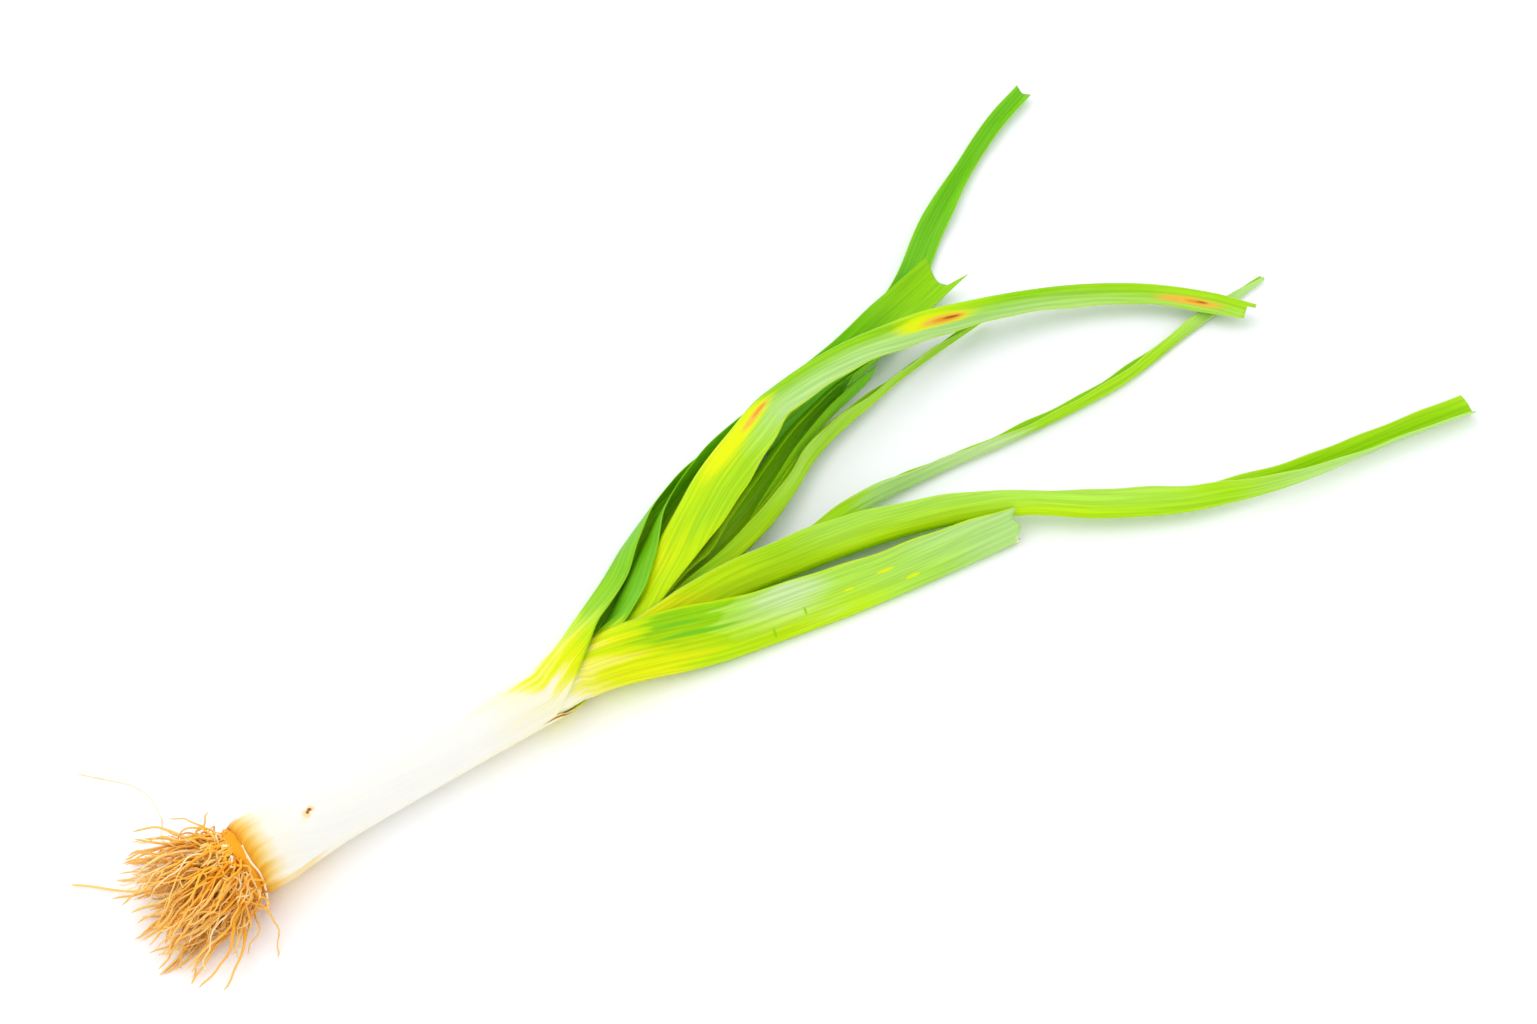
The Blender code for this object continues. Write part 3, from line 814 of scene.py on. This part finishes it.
def leaf_finish(name, lines, roughness, margin, margin_from, spots=()):
    """lines holds the colour bands of the -q margin, the keel and the +q margin."""
    finish, tree, shader = new_finish(name, roughness, SKIN_GLOSS)
    leaf_map = add_node(tree, "ShaderNodeUVMap", uv_map="leaf").outputs["UV"]
    skin = add_node(tree, "ShaderNodeUVMap", uv_map="skin").outputs["UV"]
    axes = add_node(tree, "ShaderNodeSeparateXYZ", links={"Vector": leaf_map})
    straight_q = arithmetic(tree, "MULTIPLY_ADD", axes.outputs["Y"], 2.0, -1.0)
    slow = streaks(tree, skin, BLOTCH * 3, BLOTCH / 2, detail=3.0)
    fast = streaks(tree, skin, VEIN_LENGTH, VEIN_PITCH * 2.2, detail=3.0)
    both = arithmetic(tree, "ADD", slow, arithmetic(tree, "MULTIPLY", fast, FAST_SHARE))
    wobble = arithmetic(tree, "SUBTRACT", both, NOISE_MIDDLE * (1 + FAST_SHARE))
    steady = between(tree, axes.outputs["X"], reach(0), reach(STEADY_UNTIL), STEADY_SHARE, 1.0)
    wobble = arithmetic(tree, "MULTIPLY", wobble, steady)
    scale = BAND_WOBBLE / NOISE_SWING / (LEEK_END - LEEK_START)
    along = arithmetic(tree, "MULTIPLY_ADD", wobble, scale, axes.outputs["X"])
    off_middle = arithmetic(tree, "SUBTRACT", slow, NOISE_MIDDLE)
    across = arithmetic(tree, "MULTIPLY_ADD", off_middle, 0.5, straight_q)
    minus, keel, plus = lines
    colour = bands(tree, along, keel)
    near, far = LINE_EDGE
    if minus != keel:
        colour = blend(tree, between(tree, across, -near, -far), colour, bands(tree, along, minus))
    if plus != keel:
        colour = blend(tree, between(tree, across, near, far), colour, bands(tree, along, plus))
    veins = streaks(tree, skin, VEIN_LENGTH, VEIN_PITCH)
    tone = between(tree, veins, 0.3, 0.7, *VEIN_TONE)
    tone_colour = add_node(tree, "ShaderNodeCombineColor", links={"Red": tone, "Green": tone, "Blue": tone})
    greened = between(tree, axes.outputs["X"], reach(120), reach(200), 0.12, 1.0)
    colour = blend(tree, greened, colour, tone_colour.outputs["Color"], "MULTIPLY")
    outward = arithmetic(tree, "ABSOLUTE", straight_q)
    on_blade = between(tree, axes.outputs["X"], reach(margin_from), reach(margin_from + 25))
    at_margin = between(tree, outward, *MARGIN_EDGE, 0.0, MARGIN_SHARE)
    edge = arithmetic(tree, "MULTIPLY", at_margin, on_blade)
    colour = blend(tree, edge, colour, linear(COLOURS[margin]))
    for x, q, length, width, tint in spots:
        factor = spot(tree, axes.outputs["X"], straight_q, x, q, length, width, fast)
        colour = blend(tree, factor, colour, linear(COLOURS[tint]))
    tree.links.new(colour, shader.inputs["Base Color"])
    shader.inputs["Subsurface Weight"].default_value = GLOW_SHARE
    shader.inputs["Subsurface Scale"].default_value = GLOW_DEPTH * MM
    shader.inputs["Subsurface Radius"].default_value = GLOW_COLOUR
    relief = add_node(
        tree,
        "ShaderNodeBump",
        values={"Strength": VEIN_STRENGTH, "Distance": VEIN_RELIEF * MM},
        links={"Height": veins},
    )
    tree.links.new(relief.outputs["Normal"], shader.inputs["Normal"])
    return finish


print("Veins are", VEIN_PITCH, "mm apart, and noise moves the colour bands by about", BAND_WOBBLE, "mm")

# %% [markdown]
# The colours of each leaf, as they show on a leek pulled young: white in the soil, cream and yellow at the
# neck, lime where the light first reaches, then green, with bloom on the outer faces. One leaf carries rust
# lesions: a brown core, an orange rim and a yellow halo. The outermost one has small bruises near the plate.
# A colour band is x and a colour. A spot is x, q, half its length, half its width in q, and a colour.

# %% Each leaf's colours
WHITE_SHANK = (
    (-9, "orange"), (-7, "orange"), (-4, "straw"), (0, "honey"), (6, "ivory"), (18, "white"), (108, "white"),
    (144, "cream"),
)
# The outermost sheath's lower half takes the colours below: its own orange rim and white, with painted shade
# as honey and ivory that reach further along than on its upper side.
SHANK_WITH_PAINTED_SHADE = (
    (-9, "orange"), (-6.5, "orange"), (-3, "straw"), (3, "honey"), (14, "honey"), (34, "ivory"),
    (70, "white"), (146, "cream"),
)
GREEN_BLADE = ((240, "leaf"), (420, "leaf"))
GROWN_WHITE = ((165, "cream"), (186, "yellow"), (228, "yellow"), (258, "lime"))
FINISHES = {
    "leaf_1": {
        "outer": (
            (*SHANK_WITH_PAINTED_SHADE, (160, "butter"), (172, "yellow"), (196, "lime"), (235, "fresh"), (420, "leaf")),
            (*WHITE_SHANK, (156, "butter"), (165, "yellow"), (184, "lime"), (202, "green"), *GREEN_BLADE),
            (*WHITE_SHANK, (153, "butter"), (161, "yellow"), (178, "lime"), (200, "green"), *GREEN_BLADE),
        ),
        "inner": ((120, "cream"), (165, "yellow"), (190, "green"), (300, "green"), (400, "leaf")),
        "spots": (
            (26.5, 0.550, 2.2, 0.04, "honey"), (23.5, 0.585, 2.4, 0.045, "honey"),
            (20.5, 0.625, 2.0, 0.04, "ivory"),
            (25.8, 0.556, 1.1, 0.02, "brown"), (24.4, 0.573, 1.0, 0.018, "brown"),
            (158, -0.97, 15, 0.035, "brown"),
        ),
        "margin": "green",
    },
    "leaf_2": {
        "outer": (
            ((158, "cream"), (176, "butter"), (188, "yellow"), (198, "lime"), (205, "green"), (239, "green"),
             (243, "mint"), (275, "pale"), (310, "mint"), (400, "bloom")),
            ((160, "cream"), (178, "butter"), (192, "yellow"), (214, "yellow"), (240, "lime"), (300, "lime"),
             (350, "mint"), (400, "bloom")),
            ((145, "cream"), (165, "yellow"), (240, "lime"), (290, "mint"), (400, "bloom")),
        ),
        "inner": ((150, "cream"), (190, "lime"), (230, "green"), (400, "green")),
        "spots": (
            (218, -0.76, 16, 0.030, "leaf"), (226, -0.58, 24, 0.045, "leaf"), (309, -0.52, 4, 0.03, "yellow"),
            (330, -0.62, 6, 0.04, "yellow"), (343, -0.32, 4, 0.03, "yellow"), (284, -0.42, 0.8, 0.08, "green"),
            (266, -0.22, 0.8, 0.10, "green"), (407, -0.05, 6, 0.26, "cream"),
        ),
        "margin": "lime",
    },
    "leaf_3": {
        # Its outer face turns deep green past the neck and back to leaf green further out: painted shade,
        # where leaf_5 lies over it.
        "outer": (((170, "cream"), (188, "lime"), (205, "leaf"), (240, "deep"), (400, "leaf")),) * 3,
        "inner": ((170, "cream"), (195, "green"), (262, "green"), (310, "leaf"), (380, "leaf"),
                  (480, "green")),
        "margin": "leaf",
    },
    "leaf_4": {
        "outer": (
            (*GROWN_WHITE, (290, "fresh"), (330, "mint"), (440, "mint"), (500, "fresh"), (600, "bloom")),
            (*GROWN_WHITE, (330, "lime"), (400, "lime"), (500, "fresh"), (600, "pale")),
            (*GROWN_WHITE, (300, "green"), (600, "pale")),
        ),
        "inner": ((170, "cream"), (200, "lime"), (260, "fresh"), (600, "fresh")),
        "margin": "mint",
    },
    "leaf_5": {
        "outer": (
            (*GROWN_WHITE, (400, "fresh"), (600, "fresh")),
            (*GROWN_WHITE, (272, "lime"), (302, "yellow"), (322, "lime"), (350, "green"), (410, "green"),
             (440, "lime"), (500, "green"), (600, "fresh")),
            ((165, "cream"), (190, "lime"), (245, "lime"), (268, "fresh"), (300, "fresh"), (320, "mint"),
             (345, "bloom"), (480, "bloom"), (600, "mint")),
        ),
        "inner": ((170, "cream"), (200, "green"), (260, "deep"), (600, "green")),
        "spots": (
            (312, 0.30, 34, 0.22, "yellow"), (327, 0.34, 13, 0.10, "straw"), (330, 0.34, 7, 0.05, "orange"),
            (453, 0.40, 28, 0.26, "yellow"), (457, 0.42, 17, 0.17, "straw"), (459, 0.43, 11, 0.10, "orange"),
            (461, 0.43, 6, 0.045, "brown"), (583, 0.50, 16, 0.26, "straw"), (587, 0.52, 6, 0.11, "orange"),
            (589, 0.52, 3, 0.05, "brown"),
        ),
        "margin": "lime",
    },
    "leaf_6": {
        "outer": (((180, "cream"), (210, "lime"), (270, "fresh"), (340, "fresh"), (366, "bloom"),
                   (432, "pale"), (462, "fresh"), (540, "fresh"), (620, "bloom")),) * 3,
        "inner": ((180, "cream"), (210, "green"), (600, "green")),
        "margin": "mint",
    },
    "leaf_7": {
        "outer": (((180, "cream"), (210, "lime"), (270, "fresh"), (330, "green"), (400, "leaf")),) * 3,
        "inner": ((180, "cream"), (210, "lime"), (270, "fresh"), (330, "green"), (400, "leaf")),
        "margin": "green",
    },
    "leaf_8": {
        "outer": (
            ((190, "cream"), (215, "yellow"), (245, "green"), (290, "fresh"), (340, "mint"), (460, "mint")),
            ((190, "cream"), (215, "yellow"), (252, "yellow"), (275, "lime"), (330, "fresh"), (460, "fresh")),
            ((190, "cream"), (215, "yellow"), (245, "lime"), (300, "fresh"), (460, "fresh")),
        ),
        "inner": ((190, "cream"), (215, "lime"), (260, "green"), (460, "green")),
        "margin": "lime",
    },
}
pieces = []
for leaf in LEAVES:
    chosen = FINISHES[leaf.name]
    margin = (chosen["margin"], leaf.rows[leaf.mouth_row, 0])
    waxy = leaf.name + "_waxy_outer_skin"
    outer = leaf_finish(waxy, chosen["outer"], WAXY_ROUGHNESS, *margin, chosen.get("spots", ()))
    glossy = leaf.name + "_glossy_inner_skin"
    inner = leaf_finish(glossy, (chosen["inner"],) * 3, GLOSSY_ROUGHNESS, *margin)
    pieces.append(leaf_piece(leaf, inner, outer))
print("Leaves made:", len(pieces))

# %% [markdown]
# Under the sheaths sits the real stem of the leek: the root plate, a disc as thick as a finger's width. It
# was cut out of the soil with hundreds of fleshy roots on it, which dried into a curly tuft. The plate is
# turned from a profile with a spin and roughened. Its middle is a hump of old root stumps, painted dark as
# painted shade, because the light hardly reaches it between the roots.
# Each root is a narrow grid rolled into a tube round a wandering path: it sets out away from the plate, is
# pulled over with its lock to the way that the tuft lies, droops, and curls where a slow noise turns it. The
# tuft's upper side slopes down from the plate, and no root rises far above it. The draw is seeded, so the
# roots are the same every time.

# %% The root plate and the roots' paths
ROOT_SIDES = 5
ROOT_SPREAD = 14.0
ROOT_TURN = 4.0  # degrees that the tuft as a whole lies aside, to +Y
ROOT_FAN = (24.0, 32.0)  # degrees that the outermost roots turn further aside, to -Y and to +Y
LOCK_ANGLE = 15.0  # degrees between the locks that the roots gather in
LOCK_SHARE = 0.6
TUFT_TOP = 36.0  # height of the tuft's upper side, which sinks by TUFT_SLOPE away from the plate
TUFT_SLOPE = 0.30
TUFT_GIVE = 0.2  # share of its height above that side that a root keeps
ROOT_SCATTER = 16.0  # degrees either way, at random
ROOT_BOW = 4.0  # how much nearer to the leaves the outermost roots start than the middle ones
ROOT_SPLAY = (0.7, 0.6)  # how far the first stretch leans out, aside and up or down
ROOT_HOLD = 0.72  # share of its last direction that a root keeps at each stride
ROOT_PULL = 0.28  # share that the lie of the tuft has
ROOT_TAPER = 0.5
ROOT_TIP = 0.35  # the last ring's radius as a share of the one before
ROOT_REST = 1.4  # height of a root's end that lies on the table
ROOT_CLEARANCE = 0.1
ROLL_UP = Vector((0.13, 0.21, 1.0))  # upward, but along no root
ROOT_SEED = 11
PLATE_ROUGHNESS = 0.07  # share of the radius
PLATE_GRAIN = 2.2
# Places on the root colour ramp: the plate's own orange at its rim, and painted shade in its middle.
PLATE_SHADE, HOLLOW_PAINTED_SHADE = 0.35, 0.0
PLATE_PROFILE = (  # x, radius; the middle is a hump of root stumps
    (-7.5, 16.2), (-9.5, 17.2), (-12.0, 15.8), (-14.5, 13.0), (-17.0, 9.5), (-18.5, 4.5), (-19.0, 0.0),
)
PLATE_STEPS = 48
HOLLOW_START = 13.0  # how far behind the origin the shaded middle of the plate starts


def root_path(draw, place, family):
    """Points and radii of one root: out of the plate, aside with its lock, and down onto the table."""
    around = place * math.pi * (3 - math.sqrt(5))
    share = family["inside"] + (1 - family["inside"]) * math.sqrt((place + 0.5) / family["count"])
    side, rise = share * math.cos(around), share * math.sin(around)
    start_x = family["start"] + ROOT_BOW * share**3
    point = Vector((start_x, ROOT_SPREAD * side, BASE_AXIS_HEIGHT + ROOT_SPREAD * rise))
    span = draw.uniform(*family["length"])
    aside = ROOT_TURN + ROOT_FAN[side > 0] * side + draw.uniform(-ROOT_SCATTER, ROOT_SCATTER)
    aside += (round(aside / LOCK_ANGLE) * LOCK_ANGLE - aside) * LOCK_SHARE
    end_z = ROOT_REST + draw.random() ** 2 * point.z * family["lift"]
    pull = Vector((-math.cos(math.radians(aside)), math.sin(math.radians(aside)), (end_z - point.z) / span))
    ahead = Vector((-1.0, ROOT_SPLAY[0] * side, ROOT_SPLAY[1] * rise)).normalized()
    own = Vector((draw.uniform(0, 90), draw.uniform(0, 90), draw.uniform(0, 90)))
    stride = span / (family["points"] - 1)
    points = []
    for step in range(family["points"]):
        t = step / (family["points"] - 1)
        radius = family["radius"] * (1 - ROOT_TAPER * t)
        points.append((Vector((point.x, point.y, max(point.z, radius + ROOT_CLEARANCE))), radius))
        turn = noise.noise_vector(own + Vector((step * stride / family["wave"], 0, 0)))
        ahead = (ahead * ROOT_HOLD + pull * ROOT_PULL + turn * family["curl"]).normalized()
        point = point + ahead * stride
        top = TUFT_TOP + TUFT_SLOPE * point.x
        point.z = max(min(point.z, top + TUFT_GIVE * (point.z - top)), radius + ROOT_CLEARANCE)
    return points


def roll_tube(tuft, layer, path, shade):
    """Adds one root to the mesh: a narrow grid rolled round its path."""
    rows = len(path)
    made = bmesh.ops.create_grid(tuft, x_segments=rows - 1, y_segments=ROOT_SIDES, size=0.5)["verts"]
    middles = [point for point, _ in path]
    for vertex in made:
        row = round((vertex.co.x + 0.5) * (rows - 1))
        turn = (vertex.co.y + 0.5) * 2 * math.pi
        ahead = middles[min(row + 1, rows - 1)] - middles[max(row - 1, 0)]
        side = ahead.cross(ROLL_UP).normalized()
        over = side.cross(ahead).normalized()
        for corner in vertex.link_loops:
            corner[layer].uv = (row / (rows - 1), shade)
        tip = ROOT_TIP if row == rows - 1 else 1.0
        outward = side * math.cos(turn) + over * math.sin(turn)
        vertex.co = (middles[row] + outward * path[row][1] * tip) * MM


def turned_plate(tuft, layer):
    """The disc that the roots stand on, with a rough skin. It is the first thing in the tuft's mesh."""
    points = [tuft.verts.new(Vector((x, 0.0, radius)) * MM) for x, radius in PLATE_PROFILE]
    edges = [tuft.edges.new(pair) for pair in zip(points, points[1:])]
    bmesh.ops.spin(
        tuft, geom=points + edges, cent=(0, 0, 0), axis=(1, 0, 0), angle=2 * math.pi, steps=PLATE_STEPS,
        use_merge=True,
    )
    for vertex in tuft.verts:
        bump = 1 + PLATE_ROUGHNESS * noise.noise(Vector(vertex.co) / MM / PLATE_GRAIN)
        vertex.co = Vector((vertex.co.x, vertex.co.y * bump, vertex.co.z * bump + BASE_AXIS_HEIGHT * MM))
    # The plate's middle, from HOLLOW_START back, gets the darkest root colour as painted shade; its rim keeps
    # the roots' orange.
    for face in tuft.faces:
        for corner in face.loops:
            depth = -corner.vert.co.x / MM
            corner[layer].uv = (0.0, PLATE_SHADE if depth < HOLLOW_START else HOLLOW_PAINTED_SHADE)


print("The roots grow from a patch", 2 * ROOT_SPREAD, "mm across")


# %% [markdown]
# The roots come in four families: long thick ones, many long thin ones, curly short ones that fill the
# middle, and a fringe of short ones round the plate's rim.
# A few strays and hairs outside the tuft are laid one by one.

# %% The root tuft
FAMILIES = (  # places and sizes in millimetres; inside is the bare share of the plate's radius
    {"count": 90, "start": -12.5, "length": (30, 60), "radius": 0.95, "points": 22, "curl": 0.5, "wave": 7,
     "lift": 0.6, "inside": 0.0, "shade": (0.1, 0.9)},
    {"count": 310, "start": -12.5, "length": (20, 56), "radius": 0.6, "points": 20, "curl": 0.9, "wave": 5.5,
     "lift": 0.7, "inside": 0.1, "shade": (0.1, 0.97)},
    {"count": 300, "start": -15.5, "length": (12, 28), "radius": 0.78, "points": 15, "curl": 1.8, "wave": 4.5,
     "lift": 1.2, "inside": 0.3, "shade": (0.35, 1.0)},
    {"count": 160, "start": -11.0, "length": (5, 12), "radius": 0.6, "points": 9, "curl": 0.9, "wave": 4,
     "lift": 1.2, "inside": 0.85, "shade": (0.3, 1.0)},
)
LOOSE_ROOTS = (  # strays and hairs: thickness, shade, and places that they pass
    (0.55, 0.75, ((-40, 14, 8), (-54, 23, 4), (-61, 30, 2.5), (-69, 39, 1.5), (-76, 45, 1.5))),
    (0.28, 0.97, ((-30, 36, 4), (-31, 44, 0.6), (-26, 54, 0.6), (-25, 66, 0.6), (-28, 77, 0.6), (-34, 85, 0.6),
                  (-41, 93, 0.6), (-47, 100, 0.6))),
    (0.22, 0.97, ((-22, -8, 2), (-25, -12, 0.6), (-28, -20, 0.5), (-32, -33, 0.5))),
    (0.60, 0.97, ((-8, -3, 34), (-8.5, -10, 31), (-7, -15.5, 25), (-7.5, -18.5, 16), (-9, -20, 8),
                  (-10, -21, 2))),
    (0.50, 0.92, ((-9, -8, 32), (-11, -14, 26), (-11, -18, 17), (-14, -19, 8))),
    (0.55, 0.95, ((-13, -2, 31), (-17, -6, 29), (-17, -11, 22), (-21, -12, 14))),
)
draw = random.Random(ROOT_SEED)
noise.seed_set(ROOT_SEED)  # noise_vector starts from the clock otherwise
tuft = bmesh.new()
root_layer = tuft.loops.layers.uv.new("root")
turned_plate(tuft, root_layer)
for family in FAMILIES:
    for number in range(family["count"]):
        roll_tube(tuft, root_layer, root_path(draw, number, family), draw.uniform(*family["shade"]))
for thick, shade, places in LOOSE_ROOTS:
    at = np.arange(len(places), dtype=float)
    fine = np.linspace(0, len(places) - 1, 6 * len(places))
    smooth = [monotone(fine, at, np.array(places, float)[:, axis]) for axis in range(3)]
    roll_tube(tuft, root_layer, [(Vector(place), thick) for place in zip(*smooth)], shade)
bmesh.ops.remove_doubles(tuft, verts=tuft.verts, dist=SEAM_WELD)
bmesh.ops.holes_fill(tuft, edges=tuft.edges, sides=ROOT_SIDES)
bmesh.ops.recalc_face_normals(tuft, faces=tuft.faces)
tuft_mesh = bpy.data.meshes.new("fine_roots")
tuft.to_mesh(tuft_mesh)
tuft.free()
tuft_mesh.shade_smooth()
roots = mesh_object("fine_roots", tuft_mesh)
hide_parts("root_tuft")
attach(roots, "root")
print("Root tuft:", len(tuft_mesh.polygons), "faces")

# %% [markdown]
# Dried root skin is a papery, fibrous brown over a cream core. Each root has its own shade, held in its UV
# map, and gets paler to its tip. A fine noise stains it, and as relief it stands for the wrinkles.

# %% The finish of the roots
ROOT_ROUGHNESS = 0.75
ROOT_GLOSS = 0.2
# The darkest colour is painted shade for the plate's hollow middle; the others are the roots' own tones.
ROOT_SHADES = (  # from the plate's dark hollow to a pale hair
    (0.0, "#8A4408"),
    (0.06, "#DE880A"),
    (0.4, "#F6A81C"),
    (0.65, "#FDC242"),
    (0.88, "#FEDA88"),
    (1.0, "#FFF6DE"),
)
TIP_COLOUR = "#FEDA88"
STAIN_COLOUR = "#EE9C1A"
WRINKLE_SCALE = 160.0
WRINKLE_DEPTH = 0.2
root_skin, root_tree, root_shader = new_finish("dry_root_skin", ROOT_ROUGHNESS, ROOT_GLOSS)
root_map = add_node(root_tree, "ShaderNodeUVMap", uv_map="root").outputs["UV"]
root_axes = add_node(root_tree, "ShaderNodeSeparateXYZ", links={"Vector": root_map})
shades = add_node(root_tree, "ShaderNodeValToRGB", links={"Fac": root_axes.outputs["Y"]})
marks = shades.color_ramp.elements
while len(marks) < len(ROOT_SHADES):
    marks.new(1.0)
for mark, (position, colour) in zip(marks, ROOT_SHADES):
    mark.position = position
    mark.color = linear(colour)
object_place = add_node(root_tree, "ShaderNodeTexCoord").outputs["Object"]
mottle = add_node(
    root_tree,
    "ShaderNodeTexNoise",
    values={"Scale": WRINKLE_SCALE, "Detail": 4.0},
    links={"Vector": object_place},
)
paler = between(root_tree, root_axes.outputs["X"], 0.3, 1.0, 0.0, 0.6)
root_colour = blend(root_tree, paler, shades.outputs["Color"], linear(TIP_COLOUR))
stained = between(root_tree, mottle.outputs["Fac"], 0.5, 0.75, 0.0, 0.4)
root_colour = blend(root_tree, stained, root_colour, linear(STAIN_COLOUR))
root_tree.links.new(root_colour, root_shader.inputs["Base Color"])
wrinkles = add_node(
    root_tree,
    "ShaderNodeBump",
    values={"Strength": 0.5, "Distance": WRINKLE_DEPTH * MM},
    links={"Height": mottle.outputs["Fac"]},
)
root_tree.links.new(wrinkles.outputs["Normal"], root_shader.inputs["Normal"])
tuft_mesh.materials.append(root_skin)
print("Root finish has", len(root_tree.nodes), "nodes")
